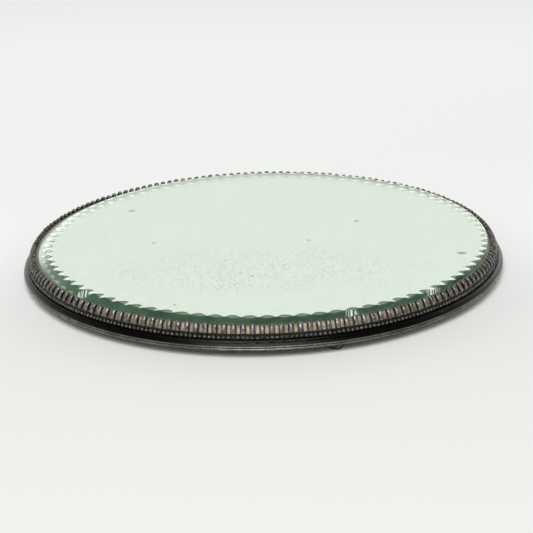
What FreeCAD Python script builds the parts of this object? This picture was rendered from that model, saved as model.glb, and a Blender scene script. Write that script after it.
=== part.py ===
# A round mirror plateau for candles: a bevelled mirror with a scalloped facet line, bedded on a
# wooden board inside a brass bezel, with a pierced gallery of ribs, a beaded strip and a reeded
# base moulding around it, on five bun feet. Lengths are in millimetres, angles in degrees. The
# plate stands on its feet at Z = 0 with its axis on Z, and its front is at -Y.

import FreeCAD
import Part
import Sketcher
import math
import os

doc = FreeCAD.newDocument("CandlePlate")
sheet = doc.addObject("Spreadsheet::Sheet", "Sizes")

# Driving dimensions. The radii build up from the glass outwards, the heights from the feet up.
dimensions = {
    # mirror glass
    "glass_radius": 140.1,
    "glass_thickness": 5.95,
    "bevel_width": 3.7,
    "bevel_shift": 2.5,
    "bevel_angle": 24.2,
    # scallops ground into the bevel line
    "scallop_count": 90,
    "scallop_width": 8.6,
    "scallop_depth": 0.43,
    "scallop_angle": 9.4,
    "scallop_stroke": 6.0,
    "scallop_start": 3.5,
    # layers under the glass
    "silvering_thickness": 0.15,
    "silvering_margin": 0.6,
    "paper_thickness": 0.7,
    "board_thickness": 5.4,
    "baize_thickness": 1.3,
    "baize_gap": 0.2,
    # bezel
    "glass_side_gap": 0.2,
    "bezel_wall": 1.3,
    "bezel_drop": 2.7,
    "rim_fit_gap": 0.05,
    # gallery of ribs
    "skirt_wall": 2.45,
    "shelf_thickness": 0.6,
    "shelf_lip": 0.12,
    "rib_count": 175,
    "rib_radius": 1.45,
    "rib_path_radius": 5.04,
    "rib_sweep": 50.8,
    "rib_root": 0.1,
    "rib_tip_step": 0.05,
    "rib_start": 1.4,
    # beaded strip
    "strip_wall": 0.8,
    "bead_radius": 1.28,
    "bead_root": 0.2,
    "bead_count": 350,
    "bead_head_gap": 0.14,
    # reeded base moulding
    "flange_thickness": 2.0,
    "flange_lap": 6.1,
    "seat_margin": 0.1,
    "seat_rise": 2.42,
    "cove_width": 1.9,
    "cove_radius": 1.25,
    "cove_inset": 0.4,
    "cove_drop": 0.1,
    "reed_radius": 0.62,
    "reed_count": 2,
    "reed_step": 0.15,
    # feet
    "foot_count": 5,
    "foot_start": 15.7,
    "foot_height": 5.0,
    "foot_radius": 4.6,
    "foot_pad_radius": 3.2,
    "foot_inset": 0.4,
    # screws dropped through the flange into the feet
    "foot_screw_length": 5.0,
    "foot_screw_radius": 1.25,
    "foot_screw_head_radius": 2.3,
    "foot_screw_head_height": 1.3,
    # screws driven up through the flange into the board
    "board_screw_length": 5.2,
    "board_screw_radius": 0.9,
    "board_screw_head_radius": 1.9,
    "board_screw_head_height": 1.1,
    "board_screw_inset": 3.1,
    # fits shared by the screws, and the overrun of every cut
    "screw_clearance": 0.12,
    "thread_gap": 0.03,
    "screw_tip_gap": 0.3,
    "cut_overrun": 0.5,
}
for row, (alias, amount) in enumerate(dimensions.items(), start=1):
    sheet.set("A%d" % row, alias)
    sheet.set("B%d" % row, str(amount))
    sheet.setAlias("B%d" % row, alias)
doc.recompute()


# A size with its value and the expression that gives it from the sheet.
class Size:
    def __init__(self, value, text):
        self.value = value
        self.text = text

    def __add__(self, other):
        other = as_size(other)
        return Size(self.value + other.value, "(%s + %s)" % (self.text, other.text))

    def __sub__(self, other):
        other = as_size(other)
        return Size(self.value - other.value, "(%s - %s)" % (self.text, other.text))

    def __mul__(self, other):
        other = as_size(other)
        return Size(self.value * other.value, "(%s * %s)" % (self.text, other.text))

    def __truediv__(self, other):
        other = as_size(other)
        return Size(self.value / other.value, "(%s / %s)" % (self.text, other.text))

    def __neg__(self):
        return Size(-self.value, "(-%s)" % self.text)


# A plain number, such as a count of halves, as a size.
def as_size(amount):
    if isinstance(amount, Size):
        return amount
    return Size(amount, repr(amount))


def cosine(angle):
    return Size(math.cos(math.radians(angle.value)), "cos(%s)" % angle.text)


def sine(angle):
    return Size(math.sin(math.radians(angle.value)), "sin(%s)" % angle.text)


def tangent(angle):
    return Size(math.tan(math.radians(angle.value)), "tan(%s)" % angle.text)


def root(amount):
    return Size(math.sqrt(amount.value), "sqrt(%s)" % amount.text)


# The named sizes, read back from the sheet.
class Sheet:
    def __getattr__(self, alias):
        return Size(float(sheet.get(alias)), "Sizes." + alias)


sizes = Sheet()
zero = as_size(0)
full_turn = as_size(360)
quarter_turn = as_size(90)

# Radii that several pieces share, from the glass outwards.
bevel_line_radius = sizes.glass_radius - sizes.bevel_width
bezel_bore = sizes.glass_radius + sizes.glass_side_gap
bezel_outer = bezel_bore + sizes.bezel_wall
skirt_bore = bezel_outer + sizes.rim_fit_gap
skirt_outer = skirt_bore + sizes.skirt_wall
socket_radius = skirt_outer + sizes.rim_fit_gap
strip_outer = socket_radius + sizes.strip_wall
bead_circle = strip_outer + sizes.bead_radius - sizes.bead_root
seat_outer = bead_circle + sizes.bead_radius + sizes.seat_margin
reed_wall = seat_outer + sizes.cove_width
rib_tip_circle = bezel_outer + sizes.rim_fit_gap + sizes.rib_radius
rib_path_circle = rib_tip_circle - sizes.rib_path_radius * cosine(sizes.rib_sweep)
shelf_outer = rib_path_circle + sizes.rib_path_radius + sizes.rib_radius + sizes.shelf_lip
flange_bore = sizes.glass_radius - sizes.flange_lap
foot_circle = bezel_outer - sizes.foot_inset
board_screw_circle = sizes.glass_radius - sizes.board_screw_inset

# Heights above the underside of the base moulding.
reeds_top = sizes.reed_radius * 2 * sizes.reed_count
seat_height = reeds_top + sizes.seat_rise
strip_height = sizes.bead_radius * 2 + sizes.bead_head_gap
shelf_underside = seat_height + strip_height + sizes.rim_fit_gap
shelf_top = shelf_underside + sizes.shelf_thickness
paper_seat = sizes.flange_thickness + sizes.board_thickness
silver_seat = paper_seat + sizes.paper_thickness
glass_seat = silver_seat + sizes.silvering_thickness
mirror_face = glass_seat + sizes.glass_thickness

# The turn from one foot to the next, and the turn that faces the front.
foot_spacing = full_turn / sizes.foot_count
front = -quarter_turn

# Each kind of screw: its shank's radius, its head's radius and its head's height.
foot_screw = (sizes.foot_screw_radius, sizes.foot_screw_head_radius, sizes.foot_screw_head_height)
board_screw = (sizes.board_screw_radius, sizes.board_screw_head_radius, sizes.board_screw_head_height)


# Binds one property to a size.
def bind(item, target, size):
    item.setExpression(target, size.text)


# A body whose own origin is lifted from the moulding's underside to its seat.
def new_body(label, seat):
    body = doc.addObject("PartDesign::Body", label)
    body.Label = label
    bind(body, "Placement.Base.z", sizes.foot_height + seat)
    return body


# One of a body's own origin planes.
def origin_item(body, role):
    for item in body.Origin.OriginFeatures:
        if item.Role == role:
            return item
    raise ValueError("no origin item " + role)


# A sketch on one of the body's own origin planes.
def new_sketch(body, name, role):
    sketch = body.newObject("Sketcher::SketchObject", name)
    sketch.AttachmentSupport = [(origin_item(body, role), "")]
    sketch.MapMode = "FlatFace"
    return sketch


# A circle on the sketch's across axis, its place and radius bound to sizes.
def add_circle(sketch, across, radius):
    middle = FreeCAD.Vector(across.value, 0, 0)
    upward = FreeCAD.Vector(0, 0, 1)
    edge = sketch.addGeometry(Part.Circle(middle, upward, radius.value))
    if across is zero:
        sketch.addConstraint(Sketcher.Constraint("Coincident", edge, 3, -1, 1))
    else:
        sketch.addConstraint(Sketcher.Constraint("PointOnObject", edge, 3, -1))
        place = sketch.addConstraint(Sketcher.Constraint("DistanceX", -1, 1, edge, 3, across.value))
        bind(sketch, "Constraints[%d]" % place, across)
    rule = sketch.addConstraint(Sketcher.Constraint("Radius", edge, radius.value))
    bind(sketch, "Constraints[%d]" % rule, radius)


# Moves a sketch out along a turn from the body's axis, lifts it and leans it.
def lay_sketch(sketch, centre_shift, ring, turn, height, lean):
    heading = FreeCAD.Rotation(FreeCAD.Vector(0, 0, 1), turn.value)
    place = FreeCAD.Vector(ring.value, 0, height.value)
    sketch.AttachmentOffset = FreeCAD.Placement(place, heading.multiply(lean))
    bind(sketch, "AttachmentOffset.Base.x", centre_shift + ring * cosine(turn))
    bind(sketch, "AttachmentOffset.Base.y", ring * sine(turn))
    bind(sketch, "AttachmentOffset.Base.z", height)


# Holds the start of a side at a distance from the origin, or on the axis where it is zero.
def hold(sketch, kind, side, size):
    if size is zero:
        axis = -2 if kind == "DistanceX" else -1
        sketch.addConstraint(Sketcher.Constraint("PointOnObject", side, 1, axis))
        return
    rule = sketch.addConstraint(Sketcher.Constraint(kind, -1, 1, side, 1, size.value))
    bind(sketch, "Constraints[%d]" % rule, size)


# A closed outline of straight sides, each corner held across and up from the origin.
def add_outline(sketch, corners):
    points = [FreeCAD.Vector(across.value, up.value, 0) for across, up in corners]
    count = len(points)
    for side in range(count):
        sketch.addGeometry(Part.LineSegment(points[side], points[(side + 1) % count]))
    for side in range(count):
        sketch.addConstraint(Sketcher.Constraint("Coincident", side, 2, (side + 1) % count, 1))
    for side, (across, up) in enumerate(corners):
        hold(sketch, "DistanceX", side, across)
        hold(sketch, "DistanceY", side, up)


# A round plate of one thickness, built upwards from the body's origin, and the axis through it.
def pad_disc(body, name, radius, thickness):
    sketch = new_sketch(body, name + "_outline", "XY_Plane")
    add_circle(sketch, zero, radius)
    pad = body.newObject("PartDesign::Pad", name)
    pad.Profile = sketch
    bind(pad, "Length", thickness)
    doc.recompute()
    return (sketch, ["N_Axis"])


# A ring turned from an outline in the XZ plane about the body's own axis, and that axis.
def turn_outline(body, name, corners):
    sketch = new_sketch(body, name + "_outline", "XZ_Plane")
    add_outline(sketch, corners)
    turned = body.newObject("PartDesign::Revolution", name)
    turned.Profile = sketch
    turned.ReferenceAxis = (sketch, ["V_Axis"])
    doc.recompute()
    return (sketch, ["V_Axis"])


# Copies the body's newest feature about an axis, evenly round the full circle.
def copy_round(body, name, feature, axis, count):
    doc.recompute()
    pattern = body.newObject("PartDesign::PolarPattern", name)
    pattern.Originals = [feature]
    pattern.Axis = axis
    pattern.Angle = full_turn.value
    pattern.Refine = False
    bind(pattern, "Occurrences", count)
    body.Tip = pattern
    doc.recompute()


# Places a primitive in its body on a ring at a turn about the axis, at a height.
def place_on_ring(item, ring, turn, height):
    bind(item, "Placement.Base.x", ring * cosine(turn))
    bind(item, "Placement.Base.y", ring * sine(turn))
    bind(item, "Placement.Base.z", height)


# A ring of round holes through the flange, each with a countersunk mouth.
def cut_screw_holes(body, name, ring, turn, mouth, screw, opens_up, axis):
    radius, head_radius, head_height = screw
    through = body.newObject("PartDesign::SubtractiveCylinder", name + "_shank_hole")
    bind(through, "Radius", radius + sizes.screw_clearance)
    bind(through, "Height", sizes.flange_thickness + sizes.cut_overrun * 2)
    place_on_ring(through, ring, turn, -sizes.cut_overrun)
    copy_round(body, name + "_shank_holes", through, axis, sizes.foot_count)
    sink = body.newObject("PartDesign::SubtractiveCone", name + "_countersink")
    wide = head_radius + sizes.screw_clearance
    narrow = radius + sizes.screw_clearance
    bind(sink, "Height", head_height)
    if opens_up:
        bind(sink, "Radius1", narrow)
        bind(sink, "Radius2", wide)
        place_on_ring(sink, ring, turn, mouth - head_height)
    else:
        bind(sink, "Radius1", wide)
        bind(sink, "Radius2", narrow)
        place_on_ring(sink, ring, turn, mouth)
    copy_round(body, name + "_countersinks", sink, axis, sizes.foot_count)


# The mirror glass: a disc with a bevel ground about a slightly shifted centre, and scallops
# ground across the bevel's inner line by a wheel that tilts less than the bevel does.
def make_mirror_glass():
    body = new_body("mirror_glass", glass_seat)
    pad_disc(body, "glass_disc", sizes.glass_radius, sizes.glass_thickness)

    slope = tangent(sizes.bevel_angle)
    reach = sizes.glass_radius + sizes.bevel_shift + sizes.cut_overrun
    fall = (reach - bevel_line_radius) * slope
    top = sizes.glass_thickness
    lift = sizes.cut_overrun
    profile = new_sketch(body, "bevel_outline", "XZ_Plane")
    bind(profile, "AttachmentOffset.Base.x", sizes.bevel_shift)
    add_outline(profile, [
        (bevel_line_radius, top),
        (reach, top - fall),
        (reach, top + lift),
        (bevel_line_radius, top + lift),
    ])
    bevel = body.newObject("PartDesign::Groove", "bevel")
    bevel.Profile = profile
    bevel.ReferenceAxis = (profile, ["V_Axis"])
    doc.recompute()

    half_width = sizes.scallop_width / 2
    depth = sizes.scallop_depth
    wheel_radius = (half_width * half_width + depth * depth) / (depth * 2)
    tilt = sizes.scallop_angle
    stroke = sizes.scallop_stroke
    axis_out = wheel_radius * sine(tilt) - stroke * cosine(tilt)
    axis_up = wheel_radius * cosine(tilt) + stroke * sine(tilt)
    ring = bevel_line_radius + axis_out
    turn = front + sizes.scallop_start
    lean = FreeCAD.Rotation(FreeCAD.Vector(0, 1, 0), (quarter_turn + tilt).value)
    wheel = new_sketch(body, "scallop_wheel", "XY_Plane")
    lay_sketch(wheel, sizes.bevel_shift, ring, turn, top - depth + axis_up, lean)
    add_circle(wheel, zero, wheel_radius)
    scallop = body.newObject("PartDesign::Pocket", "scallop")
    scallop.Profile = wheel
    scallop.Reversed = True
    scallop.Refine = False
    bind(scallop, "Length", stroke * 2)
    copy_round(body, "scallops", scallop, (profile, ["V_Axis"]), sizes.scallop_count)


# The thin layers under the glass.
def make_layers():
    silvering = new_body("silver_backing", silver_seat)
    silvering_radius = sizes.glass_radius - sizes.silvering_margin
    pad_disc(silvering, "silvering_disc", silvering_radius, sizes.silvering_thickness)
    paper = new_body("backing_paper", paper_seat)
    pad_disc(paper, "paper_disc", sizes.glass_radius, sizes.paper_thickness)
    baize = new_body("baize_cover", sizes.flange_thickness - sizes.baize_thickness)
    baize_radius = flange_bore - sizes.baize_gap
    pad_disc(baize, "baize_disc", baize_radius, sizes.baize_thickness)


# The board that carries the glass, with a pilot hole for each of its screws.
def make_base_board():
    body = new_body("base_board", sizes.flange_thickness)
    axis = pad_disc(body, "board_disc", sizes.glass_radius, sizes.board_thickness)
    pilot = body.newObject("PartDesign::SubtractiveCylinder", "pilot_hole")
    bite = sizes.board_screw_length - sizes.flange_thickness + sizes.screw_tip_gap
    bind(pilot, "Radius", sizes.board_screw_radius + sizes.thread_gap)
    bind(pilot, "Height", bite + sizes.cut_overrun)
    turn = front + sizes.foot_start + foot_spacing / 2
    place_on_ring(pilot, board_screw_circle, turn, -sizes.cut_overrun)
    copy_round(body, "pilot_holes", pilot, axis, sizes.foot_count)


# The plain brass band that holds the glass and board, its top edge showing as the inner lip.
def make_bezel():
    body = new_body("brass_bezel", sizes.flange_thickness)
    height = mirror_face - sizes.flange_thickness - sizes.bezel_drop
    turn_outline(body, "bezel_band", [
        (bezel_bore, zero),
        (bezel_outer, zero),
        (bezel_outer, height),
        (bezel_bore, height),
    ])


# The pierced gallery: a skirt inside the moulding's socket, a shelf over the beads, and a ring
# of round ribs that stand on the shelf and curl over towards the bezel.
def make_gallery():
    body = new_body("ribbed_gallery", sizes.flange_thickness)
    shelf_low = shelf_underside - sizes.flange_thickness
    shelf_high = shelf_top - sizes.flange_thickness
    axis = turn_outline(body, "skirt_and_shelf", [
        (skirt_bore, zero),
        (skirt_outer, zero),
        (skirt_outer, shelf_low),
        (shelf_outer, shelf_low),
        (shelf_outer, shelf_high),
        (skirt_bore, shelf_high),
    ])
    turn = front + sizes.rib_start
    foot_of_rib = shelf_high - sizes.rib_root
    section = new_sketch(body, "rib_section", "XY_Plane")
    lay_sketch(section, zero, rib_path_circle, turn, foot_of_rib, FreeCAD.Rotation())
    add_circle(section, sizes.rib_path_radius, sizes.rib_radius)
    rib = body.newObject("PartDesign::Revolution", "rib_bar")
    rib.Profile = section
    rib.ReferenceAxis = (section, ["V_Axis"])
    rib.Reversed = True
    rib.Refine = False
    bind(rib, "Angle", sizes.rib_sweep)
    copy_round(body, "rib_bars", rib, axis, sizes.rib_count)
    tip = body.newObject("PartDesign::AdditiveSphere", "rib_tip")
    tip.Refine = False
    bind(tip, "Radius", sizes.rib_radius - sizes.rib_tip_step)
    climb = sizes.rib_path_radius * sine(sizes.rib_sweep)
    place_on_ring(tip, rib_tip_circle, turn, foot_of_rib + climb)
    copy_round(body, "rib_tips", tip, axis, sizes.rib_count)


# The strip of fine beads that sits on the moulding under the gallery's shelf.
def make_beaded_strip():
    body = new_body("beaded_strip", seat_height)
    axis = turn_outline(body, "strip_band", [
        (socket_radius, zero),
        (strip_outer, zero),
        (strip_outer, strip_height),
        (socket_radius, strip_height),
    ])
    turn = front + sizes.rib_start
    heading = FreeCAD.Rotation(FreeCAD.Vector(0, 0, 1), turn.value)
    poles_out = FreeCAD.Rotation(FreeCAD.Vector(0, 1, 0), quarter_turn.value)
    bead = body.newObject("PartDesign::AdditiveSphere", "bead")
    bead.Refine = False
    bead.Placement = FreeCAD.Placement(FreeCAD.Vector(0, 0, 0), heading.multiply(poles_out))
    bind(bead, "Radius", sizes.bead_radius)
    place_on_ring(bead, bead_circle, turn, strip_height / 2)
    copy_round(body, "beads", bead, axis, sizes.bead_count)


# The base moulding: a flange under the board, a socket for the skirt, a cove and two reeds.
def make_reeded_base():
    body = new_body("reeded_base", zero)
    axis = turn_outline(body, "moulding", [
        (flange_bore, zero),
        (reed_wall, zero),
        (reed_wall, reeds_top),
        (seat_outer, seat_height),
        (socket_radius, seat_height),
        (socket_radius, sizes.flange_thickness),
        (flange_bore, sizes.flange_thickness),
    ])
    for reed in range(int(sizes.reed_count.value)):
        ridge = body.newObject("PartDesign::AdditiveTorus", "reed_%d" % (reed + 1))
        bind(ridge, "Radius1", reed_wall - sizes.reed_step * reed)
        bind(ridge, "Radius2", sizes.reed_radius)
        bind(ridge, "Placement.Base.z", sizes.reed_radius * (2 * reed + 1))
    cove = body.newObject("PartDesign::SubtractiveTorus", "cove")
    bind(cove, "Radius1", reed_wall - sizes.cove_inset)
    bind(cove, "Radius2", sizes.cove_radius)
    bind(cove, "Placement.Base.z", seat_height - sizes.cove_drop)

    turn = front + sizes.foot_start
    ledge = sizes.flange_thickness
    cut_screw_holes(body, "foot", foot_circle, turn, ledge, foot_screw, True, axis)
    turn = turn + foot_spacing / 2
    cut_screw_holes(body, "board", board_screw_circle, turn, zero, board_screw, False, axis)


# A bun foot: an ellipsoid cut flat above and below, with a tapped bore in its top.
def make_foot(label, turn):
    height = sizes.foot_height
    pad_share = sizes.foot_pad_radius / sizes.foot_radius
    half_swell = height / 2 / root(as_size(1) - pad_share * pad_share)
    bun = doc.addObject("Part::Ellipsoid", label + "_bun")
    bind(bun, "Radius1", half_swell)
    bind(bun, "Radius2", sizes.foot_radius)
    bind(bun, "Radius3", sizes.foot_radius)
    bun.Angle1 = front.value
    bun.Angle2 = quarter_turn.value
    bind(bun, "Placement.Base.z", height / 2)
    slab = doc.addObject("Part::Cylinder", label + "_slab")
    bind(slab, "Radius", sizes.foot_radius + sizes.cut_overrun)
    bind(slab, "Height", height)
    turned = doc.addObject("Part::Common", label + "_turned")
    turned.Base = bun
    turned.Tool = slab
    bore = doc.addObject("Part::Cylinder", label + "_bore")
    bite = sizes.foot_screw_length - sizes.flange_thickness + sizes.screw_tip_gap
    bind(bore, "Radius", sizes.foot_screw_radius + sizes.thread_gap)
    bind(bore, "Height", bite + sizes.cut_overrun)
    bind(bore, "Placement.Base.z", height - bite)
    foot = doc.addObject("Part::Cut", label)
    foot.Base = turned
    foot.Tool = bore
    foot.Label = label
    place_on_ring(foot, foot_circle, turn, zero)
    return foot


# One countersunk screw, pointing down from a flat head at its own origin, or up where flipped.
def make_screw(label, screw, length, ring, turn, height, points_up):
    radius, head_radius, head_height = screw
    head = doc.addObject("Part::Cone", label + "_head")
    shank = doc.addObject("Part::Cylinder", label + "_shank")
    bind(head, "Height", head_height)
    bind(shank, "Radius", radius)
    bind(shank, "Height", length)
    if points_up:
        bind(head, "Radius1", head_radius)
        bind(head, "Radius2", radius)
    else:
        bind(head, "Radius1", radius)
        bind(head, "Radius2", head_radius)
        bind(head, "Placement.Base.z", -head_height)
        bind(shank, "Placement.Base.z", -length)
    screw_body = doc.addObject("Part::Fuse", label)
    screw_body.Base = head
    screw_body.Tool = shank
    screw_body.Refine = True
    place_on_ring(screw_body, ring, turn, height)
    return screw_body


# A set of alike screws evenly round the ring, kept as one node of separate solids.
def make_screw_ring(label, screw, length, ring, first_turn, height, points_up):
    screws = []
    for number in range(int(sizes.foot_count.value)):
        turn = first_turn + foot_spacing * number
        name = "%s_%d" % (label, number + 1)
        screws.append(make_screw(name, screw, length, ring, turn, height, points_up))
    group = doc.addObject("Part::Compound", label)
    group.Links = screws
    group.Label = label
    return group


make_mirror_glass()
make_layers()
make_base_board()
make_bezel()
make_gallery()
make_beaded_strip()
make_reeded_base()

foot_names = ["foot_front", "foot_right", "foot_rear", "foot_rear_left", "foot_front_left"]
for number, foot_name in enumerate(foot_names):
    make_foot(foot_name, front + sizes.foot_start + foot_spacing * number)
make_screw_ring(
    "foot_screws",
    foot_screw,
    sizes.foot_screw_length,
    foot_circle,
    front + sizes.foot_start,
    sizes.foot_height + sizes.flange_thickness,
    False,
)
make_screw_ring(
    "board_screws",
    board_screw,
    sizes.board_screw_length,
    board_screw_circle,
    front + sizes.foot_start + foot_spacing / 2,
    sizes.foot_height,
    True,
)
doc.recompute()

# Every object has to be sound before anything is written.
for item in doc.Objects:
    if "Invalid" in item.State or "Error" in item.State:
        raise RuntimeError("%s did not recompute" % item.Label)

node_names = [
    "mirror_glass",
    "silver_backing",
    "backing_paper",
    "base_board",
    "baize_cover",
    "brass_bezel",
    "ribbed_gallery",
    "beaded_strip",
    "reeded_base",
    *foot_names,
    "foot_screws",
    "board_screws",
]
os.makedirs("parts", exist_ok=True)
for node_name in node_names:
    shape = doc.getObjectsByLabel(node_name)[0].Shape
    if shape.isNull() or not shape.isValid():
        raise RuntimeError("%s has no sound shape" % node_name)
    shape.exportStep("parts/%s.step" % node_name)
    box = shape.optimalBoundingBox(False)
    summary = (node_name, len(shape.Solids), shape.Volume, box.ZMin, box.ZMax, box.XMin, box.XMax)
    print("%-16s solids %d volume %.1f z %.2f to %.2f x %.2f to %.2f" % summary)
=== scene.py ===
import math
import bpy
import numpy as np
from mathutils import Matrix, Vector


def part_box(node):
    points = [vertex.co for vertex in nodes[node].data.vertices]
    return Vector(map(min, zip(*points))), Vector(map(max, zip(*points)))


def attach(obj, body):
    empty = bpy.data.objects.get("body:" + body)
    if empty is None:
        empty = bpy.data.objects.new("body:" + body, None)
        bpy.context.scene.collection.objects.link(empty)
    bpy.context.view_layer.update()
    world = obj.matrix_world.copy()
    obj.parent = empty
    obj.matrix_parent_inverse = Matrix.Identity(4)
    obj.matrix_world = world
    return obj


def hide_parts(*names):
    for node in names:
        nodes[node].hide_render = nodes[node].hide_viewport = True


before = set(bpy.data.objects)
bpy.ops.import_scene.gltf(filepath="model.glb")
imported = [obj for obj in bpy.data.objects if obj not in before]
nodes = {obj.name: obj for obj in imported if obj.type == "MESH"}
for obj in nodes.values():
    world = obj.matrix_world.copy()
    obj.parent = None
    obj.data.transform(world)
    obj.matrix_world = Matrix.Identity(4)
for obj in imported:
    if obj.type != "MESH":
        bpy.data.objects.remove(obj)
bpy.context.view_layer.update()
mm = 0.001
frontTurn = -90.0  # degrees, since the plate's front faces -Y
silverRise = 7.3  # the silvering's underside above the line that heights count from, in millimetres
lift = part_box("silver_backing")[0][2] / mm - silverRise  # that line above the floor, in millimetres
print("frame loaded:", len(nodes), "nodes")


# Where the photograph was taken from: metres above the floor, angles in radians, lens in millimetres.
photoView = {
    "place": (0.0, -0.85955, 0.30975 + lift * mm),
    "yaw": 0.00217392,
    "pitch": 0.35399271,
    "roll": -0.0271966,
    "lens": 97.46,
    "sensor": 36.0,
    "seesFrom": 0.01,
    "seesTo": 60.0,
}


# Looks along (sin yaw cos pitch, cos yaw cos pitch, -sin pitch), then rolls about that line.
def makeCamera():
    yaw, pitch, roll = photoView["yaw"], photoView["pitch"], photoView["roll"]
    ahead = Vector((math.sin(yaw) * math.cos(pitch), math.cos(yaw) * math.cos(pitch), -math.sin(pitch)))
    right = Vector((math.cos(yaw), -math.sin(yaw), 0.0))
    up = right.cross(ahead)
    side = math.cos(roll) * right + math.sin(roll) * up
    top = -math.sin(roll) * right + math.cos(roll) * up
    facing = Matrix((side, top, -ahead)).transposed().to_4x4()
    lens = bpy.data.cameras.new("photoCamera")
    lens.sensor_width = photoView["sensor"]
    lens.lens = photoView["lens"]
    lens.clip_start = photoView["seesFrom"]
    lens.clip_end = photoView["seesTo"]
    body = bpy.data.objects.new("photoCamera", lens)
    body.matrix_world = Matrix.Translation(photoView["place"]) @ facing
    bpy.context.scene.collection.objects.link(body)
    bpy.context.scene.camera = body


makeCamera()
bpy.context.scene.view_settings.view_transform = "Standard"
print("camera set")


# Points in millimetres and faces become a smooth mesh that stands for a CAD node and rides on the plate.
def makePiece(name, points, faces, stoodFor, sharpAngle=50.0):
    mesh = bpy.data.meshes.new(name)
    mesh.from_pydata((points * mm).tolist(), [], faces)
    mesh.update()
    mesh.shade_smooth()
    mesh.set_sharp_from_angle(angle=math.radians(sharpAngle))
    piece = bpy.data.objects.new(name, mesh)
    bpy.context.scene.collection.objects.link(piece)
    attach(piece, "root")
    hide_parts(stoodFor)
    return piece


# Closed outline (r, z) carried round the axis: point = (r cos a, r sin a, z) for each turn a.
def turnedRing(outline, steps=720):
    outline = np.array(outline, float)
    turns = np.linspace(0.0, 2.0 * np.pi, steps, endpoint=False)
    r, a = np.meshgrid(outline[:, 0], turns)
    z = np.broadcast_to(outline[:, 1], r.shape)
    points = np.stack([r * np.cos(a), r * np.sin(a), z], axis=-1).reshape(-1, 3)
    rows, cols = r.shape
    i, j = np.meshgrid(np.arange(rows), np.arange(cols), indexing="ij")
    nextI, nextJ = (i + 1) % rows, (j + 1) % cols
    faces = np.stack([i * cols + j, nextI * cols + j, nextI * cols + nextJ, i * cols + nextJ], axis=-1)
    return points, faces.reshape(-1, 4).tolist()


# A form made at turn 0 on +X, copied to each turn t: (x cos t - y sin t, x sin t + y cos t, z).
# Copies differ a little: each shrinks about its middle, by its own share in each direction.
def repeatRound(points, faces, ring, middle):
    count = ring["count"]
    chance = np.random.default_rng(ring["seed"])
    growth = 1.0 - ring["unevenness"] * chance.random((count, 3))
    forms = middle + (points[None] - middle) * growth[:, None, :]
    turns = np.radians(ring["start"] + frontTurn + np.arange(count) * 360.0 / count)
    c, s = np.cos(turns)[:, None], np.sin(turns)[:, None]
    x, y, z = forms[..., 0], forms[..., 1], forms[..., 2]
    copies = np.stack([x * c - y * s, x * s + y * c, z], axis=-1).reshape(-1, 3)
    shifts = (np.arange(count) * len(points)).tolist()
    allFaces = [[corner + shift for corner in face] for shift in shifts for face in faces]
    return copies, allFaces


# A grid of rows of points, each row a closed ring, with both end rings closed by one face.
def tubeFaces(rows, around):
    i, j = np.meshgrid(np.arange(rows - 1), np.arange(around), indexing="ij")
    k = (j + 1) % around
    sides = np.stack([i * around + j, i * around + k, (i + 1) * around + k, (i + 1) * around + j], axis=-1)
    first = list(range(around))[::-1]
    last = list(range((rows - 1) * around, rows * around))
    return sides.reshape(-1, 4).tolist() + [first, last]


# Two forms in one mesh: the second's corners are counted on from the first's last point.
def joinForms(first, second):
    shift = len(first[0])
    moved = [[corner + shift for corner in face] for face in second[1]]
    return np.vstack([first[0], second[0]]), first[1] + moved


# The gallery: a skirt with a shelf, and curled ribs on it. Millimetres and degrees.
gallery = {
    "skirtInner": 141.65,
    "skirtOuter": 144.10,
    "skirtFoot": 1.2,
    "shelfUnder": 6.85,
    "shelfTop": 7.45,
    "shelfOuter": 146.50,
    "count": 175,
    "start": 1.4,
    "unevenness": 0.07,
    "seed": 4,
    "bar": 1.45,
    "wide": 1.2,
    "pathCircle": 139.915,
    "pathRadius": 5.04,
    "sweep": 50.8,
    "dome": 84.0,
    "root": 7.35,
}


# A rib: path (r, z) = (R + P cos t, Z + P sin t) for t from 0 to the sweep, with an oval bar of
# radius q round it; on the domed tip the bar is q cos a and the middle has run q sin a further.
def ribForm(arcRows=4, tipRows=4, around=10):
    q, reach = gallery["bar"], gallery["pathRadius"]
    end = math.radians(gallery["sweep"])
    a = np.linspace(0.0, math.radians(gallery["dome"]), tipRows + 1)[1:]
    heading = np.concatenate([np.linspace(0.0, end, arcRows), np.full(tipRows, end)])
    run = np.concatenate([np.zeros(arcRows), q * np.sin(a)])
    bar = np.concatenate([np.full(arcRows, q), q * np.cos(a)])[:, None]
    r = (gallery["pathCircle"] + reach * np.cos(heading) - run * np.sin(heading))[:, None]
    z = (gallery["root"] + lift + reach * np.sin(heading) + run * np.cos(heading))[:, None]
    v = np.linspace(0.0, 2.0 * np.pi, around, endpoint=False)[None, :]
    heading = heading[:, None]
    outR = r + bar * np.cos(v) * np.cos(heading)
    outZ = z + bar * np.cos(v) * np.sin(heading)
    across = gallery["wide"] * bar * np.sin(v)
    points = np.stack([outR, across, outZ], axis=-1).reshape(-1, 3)
    return points, tubeFaces(arcRows + tipRows, around)


def makeGallery():
    shelf = turnedRing([
        (gallery["skirtInner"], gallery["skirtFoot"] + lift),
        (gallery["skirtOuter"], gallery["skirtFoot"] + lift),
        (gallery["skirtOuter"], gallery["shelfUnder"] + lift),
        (gallery["shelfOuter"], gallery["shelfUnder"] + lift),
        (gallery["shelfOuter"], gallery["shelfTop"] + lift),
        (gallery["skirtInner"], gallery["shelfTop"] + lift),
    ])
    points, faces = ribForm()
    middle = np.array([gallery["pathCircle"] + gallery["pathRadius"], 0.0, gallery["root"] + lift])
    points, faces = joinForms(shelf, repeatRound(points, faces, gallery, middle))
    return makePiece("galleryOfRibs", points, faces, "ribbed_gallery")


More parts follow.
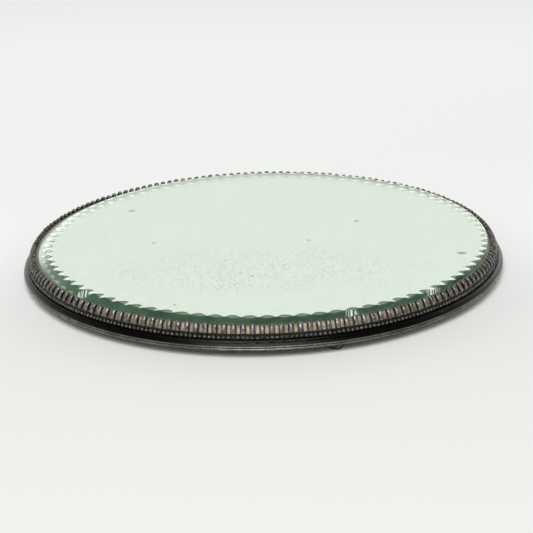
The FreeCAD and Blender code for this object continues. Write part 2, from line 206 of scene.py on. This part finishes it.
# The beaded strip: a plain band with balls half sunk in its outer face. Millimetres and degrees.
beading = {
    "bandInner": 144.15,
    "bandOuter": 144.95,
    "foot": 4.10,
    "top": 6.80,
    "count": 350,
    "start": 1.4,
    "unevenness": 0.28,
    "seed": 9,
    "circle": 146.05,
    "height": 5.45,
    "radius": 1.26,
    "lastRow": 80.0,
}


# A ball with its poles on the radius: (R + q sin b, q cos b cos a, Z + q cos b sin a).
def beadForm(rows=7, around=10):
    q, end = beading["radius"], math.radians(beading["lastRow"])
    b = np.linspace(-end, end, rows)[:, None]
    a = np.linspace(0.0, 2.0 * np.pi, around, endpoint=False)[None, :]
    along = np.broadcast_to(beading["circle"] + q * np.sin(b), (rows, around))
    across = q * np.cos(b) * np.cos(a)
    rise = beading["height"] + lift + q * np.cos(b) * np.sin(a)
    points = np.stack([along, across, rise], axis=-1).reshape(-1, 3)
    return points, tubeFaces(rows, around)


def makeBeading():
    band = turnedRing([
        (beading["bandInner"], beading["foot"] + lift),
        (beading["bandOuter"], beading["foot"] + lift),
        (beading["bandOuter"], beading["top"] + lift),
        (beading["bandInner"], beading["top"] + lift),
    ])
    points, faces = beadForm()
    middle = np.array([beading["circle"], 0.0, beading["height"] + lift])
    points, faces = joinForms(band, repeatRound(points, faces, beading, middle))
    return makePiece("stripOfBeads", points, faces, "beaded_strip")


# Silvering: a disc a hair under the glass, so the two faces don't share a plane. Millimetres.
silvering = {
    "radius": 139.5,
    "foot": 7.31,
    "top": 7.44,
}


# Two rims (R cos a, R sin a) on two heights, with a wall between and one round face on each.
def makeSilvering(steps=256):
    a = np.linspace(0.0, 2.0 * np.pi, steps, endpoint=False)
    rim = np.stack([silvering["radius"] * np.cos(a), silvering["radius"] * np.sin(a)], axis=-1)
    low = np.column_stack([rim, np.full(steps, silvering["foot"] + lift)])
    high = np.column_stack([rim, np.full(steps, silvering["top"] + lift)])
    points, faces = np.vstack([low, high]), tubeFaces(2, steps)
    return makePiece("silverLayer", points, faces, "silver_backing")


galleryPiece = makeGallery()
beadingPiece = makeBeading()
silverPiece = makeSilvering()
print("rim and silvering made")


def newMaterial(name):
    material = bpy.data.materials.new(name)
    material.use_nodes = True
    return material, material.node_tree, material.node_tree.nodes["Principled BSDF"]


# Each input gets a plain value, or what another node puts out.
def fill(tree, node, inputs):
    for name, value in inputs.items():
        if isinstance(value, bpy.types.NodeSocket):
            tree.links.new(value, node.inputs[name])
        else:
            node.inputs[name].default_value = value


def addNode(tree, kind, inputs=None, **settings):
    node = tree.nodes.new(kind)
    for name, value in settings.items():
        setattr(node, name, value)
    fill(tree, node, inputs or {})
    return node


def addMath(tree, operation, *values):
    return addNode(tree, "ShaderNodeMath", dict(enumerate(values)), operation=operation).outputs[0]


def addVectorMath(tree, operation, *values):
    return addNode(tree, "ShaderNodeVectorMath", dict(enumerate(values)), operation=operation).outputs


# A value carried from one range to another and held at its ends.
def addRange(tree, value, start, end, startOut=0.0, endOut=1.0, smooth=False):
    inputs = {"Value": value, "From Min": start, "From Max": end, "To Min": startOut, "To Max": endOut}
    easing = "SMOOTHSTEP" if smooth else "LINEAR"
    return addNode(tree, "ShaderNodeMapRange", inputs, interpolation_type=easing).outputs["Result"]


# Two colours mixed by a share; sockets 6 and 7 are the node's two colours and output 2 their mix.
def addMix(tree, share, first, second):
    return addNode(tree, "ShaderNodeMix", {0: share, 6: first, 7: second}, data_type="RGBA").outputs[2]


def addNoise(tree, place, scale, detail):
    inputs = {"Vector": place, "Scale": scale, "Detail": detail}
    return addNode(tree, "ShaderNodeTexNoise", inputs).outputs["Fac"]


# Object coordinates, whole and as x, y and z.
def addPlace(tree):
    place = addNode(tree, "ShaderNodeTexCoord").outputs["Object"]
    return place, addNode(tree, "ShaderNodeSeparateXYZ", {0: place}).outputs


# Distance from the plate's axis, or from an axis beside it, in metres.
def addRadius(tree, place, shift=0.0):
    moved = addVectorMath(tree, "SUBTRACT", place, (shift * mm, 0.0, 0.0))["Vector"]
    flat = addVectorMath(tree, "MULTIPLY", moved, (1.0, 1.0, 0.0))["Vector"]
    return addVectorMath(tree, "LENGTH", flat)["Value"]


# 1 inside an oval and 0 outside it, fading over its edge.
def addOval(tree, place, across, up, halfLength, halfWidth, edge=(1.25, 0.55)):
    moved = addVectorMath(tree, "SUBTRACT", place, (across * mm, up * mm, 0.0))["Vector"]
    stretch = (1.0 / (halfLength * mm), 1.0 / (halfWidth * mm), 0.0)
    scaled = addVectorMath(tree, "MULTIPLY", moved, stretch)["Vector"]
    return addRange(tree, addVectorMath(tree, "LENGTH", scaled)["Value"], *edge, smooth=True)


# What all aged metals share: noise detail, how much finer the grime is and how far it tells, the
# range of tones that counts as worn, what grime adds to the roughness, and pit depth in metres.
grime = {
    "broadDetail": 4.0,
    "fineDetail": 3.0,
    "finer": 5.0,
    "fineShare": 0.55,
    "worn": (0.60, 0.98),
    "roughens": 0.24,
    "pitDepth": 0.0003,
}


# Aged metal: a broad cloudy tone between two colours, with fine grime that roughens and pits it.
def makeAgedMetalGroup():
    group = bpy.data.node_groups.new("agedMetal", "ShaderNodeTree")
    sockets = [
        ("INPUT", "NodeSocketColor", ("Dark", "Light")),
        ("INPUT", "NodeSocketFloat", ("Scale", "Wear", "Matt")),
        ("OUTPUT", "NodeSocketColor", ("Colour",)),
        ("OUTPUT", "NodeSocketFloat", ("Roughness", "Height")),
    ]
    for side, kind, names in sockets:
        for name in names:
            group.interface.new_socket(name=name, in_out=side, socket_type=kind)
    given = addNode(group, "NodeGroupInput").outputs
    place = addNode(group, "ShaderNodeTexCoord").outputs["Object"]
    broad = addNoise(group, place, given["Scale"], grime["broadDetail"])
    fineScale = addMath(group, "MULTIPLY", given["Scale"], grime["finer"])
    fine = addNoise(group, place, fineScale, grime["fineDetail"])
    both = addMath(group, "MULTIPLY_ADD", fine, grime["fineShare"], broad)
    worn = addMath(group, "MULTIPLY", addRange(group, both, *grime["worn"]), given["Wear"])
    tone = addMix(group, worn, given["Dark"], given["Light"])
    rough = addMath(group, "MULTIPLY_ADD", fine, grime["roughens"], given["Matt"])
    addNode(group, "NodeGroupOutput", {"Colour": tone, "Roughness": rough, "Height": both})
    return group


agedMetal = makeAgedMetalGroup()

# Finishes in linear colour. A zone gives a second colour from one height on, and where it has radii
# also from one radius on: each mask goes from 0 to 1 across its two values, in millimetres.
# A dark colour between a ring's forms is painted shade, with patina in the hollows, and its shares are
# shares of their pitch.
ribFinish = {
    "Dark": (0.058, 0.055, 0.054, 1),
    "Light": (0.33, 0.31, 0.295, 1),
    "Scale": 520.0,
    "Wear": 0.95,
    "Matt": 0.22,
    "metal": 0.85,
    "relief": 0.5,
    "zones": [
        {"radii": (145.6, 145.2), "heights": (7.7, 7.5), "colour": (0.74, 0.66, 0.48, 1)},
        # painted shade: near black on the shelf's outer edge and the feet of the ribs, under their curl
        {"radii": (145.3, 145.6), "heights": (7.9, 7.45), "colour": (0.022, 0.020, 0.019, 1)},
    ],
    # painted shade, with patina: dark rib flanks and gaps between the ribs
    "shadeAndPatina": {"ring": gallery, "shares": (0.17, 0.31), "colour": (0.016, 0.014, 0.014, 1)},
}
beadFinish = {
    "Dark": (0.040, 0.037, 0.036, 1),
    "Light": (0.20, 0.185, 0.17, 1),
    "Scale": 420.0,
    "Wear": 0.9,
    "Matt": 0.34,
    "metal": 0.85,
    "relief": 0.5,
    "zones": [],
}
baseFinish = {
    "Dark": (0.10, 0.096, 0.09, 1),
    "Light": (0.24, 0.23, 0.215, 1),
    "Scale": 150.0,
    "Wear": 0.8,
    "Matt": 0.17,
    "metal": 0.9,
    "relief": 0.2,
    # painted shade, with dark patina: the cove under the beads and the top of the upper reed
    "zones": [{"heights": (1.3, 1.75), "colour": (0.006, 0.0055, 0.005, 1)}],
}
footFinish = {
    "Dark": (0.028, 0.026, 0.025, 1),
    "Light": (0.13, 0.12, 0.11, 1),
    "Scale": 300.0,
    "Wear": 0.7,
    "Matt": 0.26,
    "metal": 0.8,
    "relief": 0.4,
    "zones": [],
}
bezelFinish = {
    "Dark": (0.42, 0.35, 0.23, 1),
    "Light": (0.98, 0.92, 0.76, 1),
    "Scale": 300.0,
    "Wear": 1.0,
    "Matt": 0.36,
    "metal": 0.3,
    "relief": 0.4,
    "zones": [{"heights": (10.1, 10.75), "colour": (0.17, 0.15, 0.10, 1)}],
}


# Painted shade, with patina, between a ring's forms: 0 on the forms and 1 between them. With u = turn /
# pitch,
# |fract(u) - 0.5| is 0.5 on a form's middle, and the mask rises as it falls by the first share and then by the second.
def addShadeAndPatina(tree, parts, ring, shares):
    pitch = 2.0 * math.pi / ring["count"]
    turn = addMath(tree, "ARCTAN2", parts["Y"], parts["X"])
    fromFirst = addMath(tree, "SUBTRACT", turn, math.radians(ring["start"] + frontTurn))
    part = addMath(tree, "FRACT", addMath(tree, "DIVIDE", fromFirst, pitch))
    away = addMath(tree, "ABSOLUTE", addMath(tree, "SUBTRACT", part, 0.5))
    return addRange(tree, away, 0.5 - shares[0], 0.5 - shares[1], smooth=True)


def makeAgedMetal(name, finish):
    material, tree, shader = newMaterial(name)
    given = {key: finish[key] for key in ("Dark", "Light", "Scale", "Wear", "Matt")}
    look = addNode(tree, "ShaderNodeGroup", given, node_tree=agedMetal).outputs
    place, parts = addPlace(tree)
    radius = addRadius(tree, place)
    colour = look["Colour"]
    # painted shade, with patina, between the forms of a ring
    if "shadeAndPatina" in finish:
        shadeAndPatina = finish["shadeAndPatina"]
        between = addShadeAndPatina(tree, parts, shadeAndPatina["ring"], shadeAndPatina["shares"])
        colour = addMix(tree, between, colour, shadeAndPatina["colour"])
    for zone in finish["zones"]:
        start, end = [(height + lift) * mm for height in zone["heights"]]
        share = addRange(tree, parts["Z"], start, end, smooth=True)
        if "radii" in zone:
            start, end = [bound * mm for bound in zone["radii"]]
            inside = addRange(tree, radius, start, end, smooth=True)
            share = addMath(tree, "MULTIPLY", inside, share)
        colour = addMix(tree, share, colour, zone["colour"])
    pits = {"Strength": finish["relief"], "Distance": grime["pitDepth"], "Height": look["Height"]}
    fill(tree, shader, {
        "Base Color": colour,
        "Metallic": finish["metal"],
        "Roughness": look["Roughness"],
        "Normal": addNode(tree, "ShaderNodeBump", pits).outputs["Normal"],
    })
    return material


# The glass: clear, a little hazy in clouds, with painted light: an emitted green glow on the front bevel and
# a grey one on the ground chips, painted highlights on the bevel, and a paler tint on the bevel at the sides
# and back.
# Millimetres; a pair is where a mask starts and ends, or what it gives there.
glass = {
    "tint": (0.89, 0.95, 0.885, 1),
    # painted brightening: the paler tint of the bevel at the sides and back
    "paintedPaleTint": (0.97, 0.99, 0.97, 1),
    "ior": 1.52,
    "cloudScale": 14.0,
    "cloudDetail": 3.0,
    "cloudShows": (0.35, 0.75),
    "haze": 0.012,
    "face": 13.4,
    "wallEnds": (3.5, 3.4),  # below the face
    "bevelShift": 2.5,
    "bevelLine": 136.4,
    "lineEdge": (-0.05, 0.1),
    "glowFades": (-48.0, -15.0),
    # painted light: the emitted green glow of the front bevel, made uneven by the noise below
    "bevelPaintedGlow": (0.042, 0.086, 0.048),
    "flowScale": 90.0,
    "flowDetail": 2.0,
    "flowShows": (0.3, 0.7),
    "flowGlow": (0.65, 1.4),
    "chipInner": 133.2,
    "chipEdge": 0.1,
    "chipStarts": (0.015, 0.05),  # below the face
    "chipDepth": 0.43,
    "chipDeepens": (0.55, 1.25),
    # painted light: the emitted grey glow of the ground chips
    "chipPaintedGlow": (0.21, 0.24, 0.20),
    # painted highlight colour for the bevel streaks
    "paintedHighlight": (0.74, 0.82, 0.75, 1),
    "highlightFlat": 0.8,
    "stripeScale": 900.0,
    "stripeShows": (0.47, 0.55),
    "unlit": (0.0, 0.0, 0.0, 1),
}
# Painted highlights, bright streaks where the bevel catches the light: place across and up the plate, and
# half width.
bevelHighlightSpots = [(-102.6, -90.7, 5.2), (47.5, -131.5, 3.6), (96.2, -102.9, 6.0)]


# A colour made stronger or weaker by a mask.
def addGlow(tree, colour, strength):
    inputs = {0: colour, "Scale": strength}
    return addNode(tree, "ShaderNodeVectorMath", inputs, operation="SCALE").outputs[0]


def makeGlass():
    material, tree, shader = newMaterial("mirrorGlass")
    place, parts = addPlace(tree)
    cloud = addNoise(tree, place, glass["cloudScale"], glass["cloudDetail"])
    haze = addRange(tree, cloud, *glass["cloudShows"], 0.0, glass["haze"])

    # painted brightening: a paler tint where the bevel runs round the sides and the back
    radius = addRadius(tree, place, glass["bevelShift"])
    start, end = [(glass["bevelLine"] + edge) * mm for edge in glass["lineEdge"]]
    bevelRing = addRange(tree, radius, start, end)
    start, end = [bound * mm for bound in glass["glowFades"]]
    behind = addRange(tree, parts["Y"], start, end, smooth=True)
    paintedPaleShare = addMath(tree, "MULTIPLY", bevelRing, behind)
    clear = addMix(tree, paintedPaleShare, glass["tint"], glass["paintedPaleTint"])

    # painted light: an emitted glow, green on the front bevel and grey on the ground chips
    onBevel = addMath(tree, "SUBTRACT", bevelRing, paintedPaleShare)
    flow = addNoise(tree, place, glass["flowScale"], glass["flowDetail"])
    uneven = addRange(tree, flow, *glass["flowShows"], *glass["flowGlow"])
    bevelPaintedLight = addGlow(tree, glass["bevelPaintedGlow"], uneven)
    face = glass["face"] + lift
    chipRing = addRange(tree, radius, glass["chipInner"] * mm, (glass["chipInner"] + glass["chipEdge"]) * mm)
    start, end = [(face - depth) * mm for depth in glass["chipStarts"]]
    onChip = addMath(tree, "MULTIPLY", chipRing, addRange(tree, parts["Z"], start, end))
    deeper = addRange(tree, parts["Z"], face * mm, (face - glass["chipDepth"]) * mm, *glass["chipDeepens"])
    chipPaintedLight = addGlow(tree, glass["chipPaintedGlow"], addMath(tree, "MULTIPLY", onChip, deeper))
    paintedLight = addMix(tree, onBevel, chipPaintedLight, bevelPaintedLight)

    # painted highlights: white streaks, fine stripes inside each bright place
    stripeInputs = {"W": parts["X"], "Scale": glass["stripeScale"]}
    stripes = addNode(tree, "ShaderNodeTexNoise", stripeInputs, noise_dimensions="1D").outputs["Fac"]
    stripe = addRange(tree, stripes, *glass["stripeShows"])
    for across, up, halfWidth in bevelHighlightSpots:
        oval = addOval(tree, place, across, up, halfWidth, halfWidth * glass["highlightFlat"])
        bright = addMath(tree, "MULTIPLY", oval, stripe)
        paintedLight = addMix(tree, addMath(tree, "MULTIPLY", bright, onBevel), paintedLight, glass["paintedHighlight"])

    # no painted glow on the wall and the underside
    start, end = [(face - depth) * mm for depth in glass["wallEnds"]]
    above = addRange(tree, parts["Z"], start, end)
    fill(tree, shader, {
        "Base Color": clear,
        "Roughness": haze,
        "IOR": glass["ior"],
        "Transmission Weight": 1.0,
        "Emission Color": addMix(tree, above, glass["unlit"], paintedLight),
        "Emission Strength": 1.0,
    })
    return material


# Silvering: bright metal with fine specks, thickest in a band across the front half, and lost spots.
silverLook = {
    "dark": (0.84, 0.86, 0.84, 1),
    "light": (0.93, 0.94, 0.93, 1),
    "stain": (0.03, 0.04, 0.03, 1),
    "cloudScale": 60.0,
    "cloudDetail": 5.0,
    "speckScale": 620.0,
    "speckDetail": 1.0,
    "speckShows": (0.60, 0.70),
    "speckStrength": 0.5,
    "speckBand": (-5.0, -55.0, 95.0, 42.0),
    "markSetBack": 4.68,
}
# Lost spots: place across and up the plate, half length and half width, strength. They are placed
# as they show at the glass's face, and lie further back by what the glass bends the view.
silverMarks = [
    (-87.3, 56.3, 2.6, 2.0, 1.0),
    (120.2, -43.8, 3.0, 2.1, 1.0),
    (-68.5, -9.7, 0.9, 1.5, 1.0),
    (61.0, 22.2, 1.6, 1.9, 0.8),
    (28.7, -12.3, 1.2, 1.7, 0.5),
    (-6.9, -72.9, 0.9, 1.4, 1.0),
    (-50.3, -115.1, 0.8, 1.2, 0.9),
]


def makeSilverMetal():
    material, tree, shader = newMaterial("silvering")
    place = addNode(tree, "ShaderNodeTexCoord").outputs["Object"]
    cloud = addNoise(tree, place, silverLook["cloudScale"], silverLook["cloudDetail"])
    bright = addMix(tree, cloud, silverLook["dark"], silverLook["light"])
    specks = addNoise(tree, place, silverLook["speckScale"], silverLook["speckDetail"])
    speckShare = addRange(tree, specks, *silverLook["speckShows"], 0.0, silverLook["speckStrength"])
    stained = addMath(tree, "MULTIPLY", speckShare, addOval(tree, place, *silverLook["speckBand"]))
    for across, up, halfLength, halfWidth, strength in silverMarks:
        oval = addOval(tree, place, across, up + silverLook["markSetBack"], halfLength, halfWidth)
        stained = addMath(tree, "MAXIMUM", stained, addMath(tree, "MULTIPLY", oval, strength))
    lost = addMix(tree, stained, bright, silverLook["stain"])
    fill(tree, shader, {"Base Color": lost, "Metallic": 1.0, "Roughness": 0.0})
    return material


# Plain stuff under the glass: two colours mixed by a noise, which also raises the surface.
plainRelief = {"detail": 5.0, "strength": 0.3, "depth": 0.0002}
paperFinish = {
    "dark": (0.30, 0.22, 0.14, 1),
    "light": (0.42, 0.33, 0.22, 1),
    "scale": 400.0,
    "rough": 0.9,
    "metal": 0.0,
}
woodFinish = {
    "dark": (0.16, 0.09, 0.045, 1),
    "light": (0.34, 0.21, 0.11, 1),
    "scale": 60.0,
    "rough": 0.7,
    "metal": 0.0,
}
baizeFinish = {
    "dark": (0.012, 0.05, 0.022, 1),
    "light": (0.03, 0.10, 0.045, 1),
    "scale": 1400.0,
    "rough": 0.95,
    "metal": 0.0,
}
screwFinish = {
    "dark": (0.28, 0.28, 0.27, 1),
    "light": (0.5, 0.5, 0.48, 1),
    "scale": 900.0,
    "rough": 0.35,
    "metal": 1.0,
}


def makePlain(name, finish):
    material, tree, shader = newMaterial(name)
    place = addNode(tree, "ShaderNodeTexCoord").outputs["Object"]
    noise = addNoise(tree, place, finish["scale"], plainRelief["detail"])
    relief = {"Strength": plainRelief["strength"], "Distance": plainRelief["depth"], "Height": noise}
    fill(tree, shader, {
        "Base Color": addMix(tree, noise, finish["dark"], finish["light"]),
        "Metallic": finish["metal"],
        "Roughness": finish["rough"],
        "Normal": addNode(tree, "ShaderNodeBump", relief).outputs["Normal"],
    })
    return material


def dress(piece, material):
    piece.data.materials.clear()
    piece.data.materials.append(material)


def dressNodes(material, *names):
    for name in names:
        for slot in nodes[name].material_slots:
            slot.material = material


silverMetal = makeSilverMetal()
ribMetal = makeAgedMetal("ribMetal", ribFinish)
beadMetal = makeAgedMetal("beadMetal", beadFinish)
dress(galleryPiece, ribMetal)
dress(beadingPiece, beadMetal)
dress(silverPiece, silverMetal)
dressNodes(ribMetal, "ribbed_gallery")
dressNodes(beadMetal, "beaded_strip")
dressNodes(silverMetal, "silver_backing")
dressNodes(makeGlass(), "mirror_glass")
dressNodes(makeAgedMetal("bezelMetal", bezelFinish), "brass_bezel")
dressNodes(makeAgedMetal("baseMetal", baseFinish), "reeded_base")
footMetal = makeAgedMetal("footMetal", footFinish)
dressNodes(footMetal, "foot_front", "foot_right", "foot_rear", "foot_rear_left", "foot_front_left")
dressNodes(makePlain("backingPaper", paperFinish), "backing_paper")
dressNodes(makePlain("boardWood", woodFinish), "base_board")
dressNodes(makePlain("greenBaize", baizeFinish), "baize_cover")
dressNodes(makePlain("screwSteel", screwFinish), "foot_screws", "board_screws")
print("materials set")


# The studio: a pale floor, a bright horizon that darkens overhead, and one soft lamp high in front.
# Metres, degrees and watts; the horizon, middle and overhead stand at rising heights of the view.
studio = {
    "floorNear": (0.86, 0.85, 0.84, 1),
    "floorFar": (0.90, 0.895, 0.89, 1),
    "floorRough": 0.9,
    "floorGloss": 0.1,
    "floorGlow": 0.08,
    "floorFades": (-0.14, 0.05),
    "farGlow": 0.11,
    "farFades": (0.1, 0.75),
    "glowColour": (1.0, 1.0, 1.0, 1),
    "floorSize": 12.0,
    "frontDim": 0.6,
    "frontFades": (-0.5, 0.0),
    "horizon": (1.02, 1.03, 1.01, 1),
    "horizonAt": 0.42,
    "middle": (0.26, 0.29, 0.26, 1),
    "middleAt": 0.62,
    "overhead": (0.055, 0.075, 0.058, 1),
    "overheadAt": 0.86,
    "lampPlace": (-0.2, -2.3, 2.9),
    "lampLean": 38.0,
    "lampSize": 2.6,
    "lampPower": 122.0,
}


# One square, with a paler colour and a faint glow towards the back as a paper sweep has.
def makeFloor():
    half = studio["floorSize"] / 2
    mesh = bpy.data.meshes.new("floor")
    corners = [(-half, -half, 0), (half, -half, 0), (half, half, 0), (-half, half, 0)]
    mesh.from_pydata(corners, [], [(0, 1, 2, 3)])
    floor = bpy.data.objects.new("floor", mesh)
    bpy.context.scene.collection.objects.link(floor)
    material, tree, shader = newMaterial("paperSweep")
    depth = addPlace(tree)[1]["Y"]
    away = addRange(tree, depth, *studio["floorFades"], smooth=True)
    farAway = addRange(tree, depth, *studio["farFades"], 0.0, studio["farGlow"], smooth=True)
    fill(tree, shader, {
        "Base Color": addMix(tree, away, studio["floorNear"], studio["floorFar"]),
        "Roughness": studio["floorRough"],
        "Specular IOR Level": studio["floorGloss"],
        "Emission Color": studio["glowColour"],
        "Emission Strength": addMath(tree, "MULTIPLY_ADD", away, studio["floorGlow"], farAway),
    })
    floor.data.materials.append(material)


def makeWorld():
    world = bpy.data.worlds.new("studioRoom")
    bpy.context.scene.world = world
    world.use_nodes = True
    tree = world.node_tree
    view = addNode(tree, "ShaderNodeTexCoord").outputs["Generated"]
    parts = addNode(tree, "ShaderNodeSeparateXYZ", {0: view}).outputs
    ramp = addNode(tree, "ShaderNodeValToRGB", {"Fac": parts["Z"]})
    band = ramp.color_ramp
    band.interpolation = "EASE"
    band.elements[0].position = studio["horizonAt"]
    band.elements[0].color = studio["horizon"]
    band.elements[1].position = studio["overheadAt"]
    band.elements[1].color = studio["overhead"]
    band.elements.new(studio["middleAt"]).color = studio["middle"]
    dimmed = addRange(tree, parts["Y"], *studio["frontFades"], studio["frontDim"], 1.0, smooth=True)
    fill(tree, tree.nodes["Background"], {"Color": ramp.outputs["Color"], "Strength": dimmed})


def makeLamp():
    light = bpy.data.lights.new("softLamp", "AREA")
    light.shape = "DISK"
    light.size = studio["lampSize"]
    light.energy = studio["lampPower"]
    body = bpy.data.objects.new("softLamp", light)
    body.location = studio["lampPlace"]
    body.rotation_euler = (math.radians(studio["lampLean"]), 0.0, 0.0)
    body.visible_transmission = False
    bpy.context.scene.collection.objects.link(body)


makeFloor()
makeWorld()
makeLamp()
print("studio set")
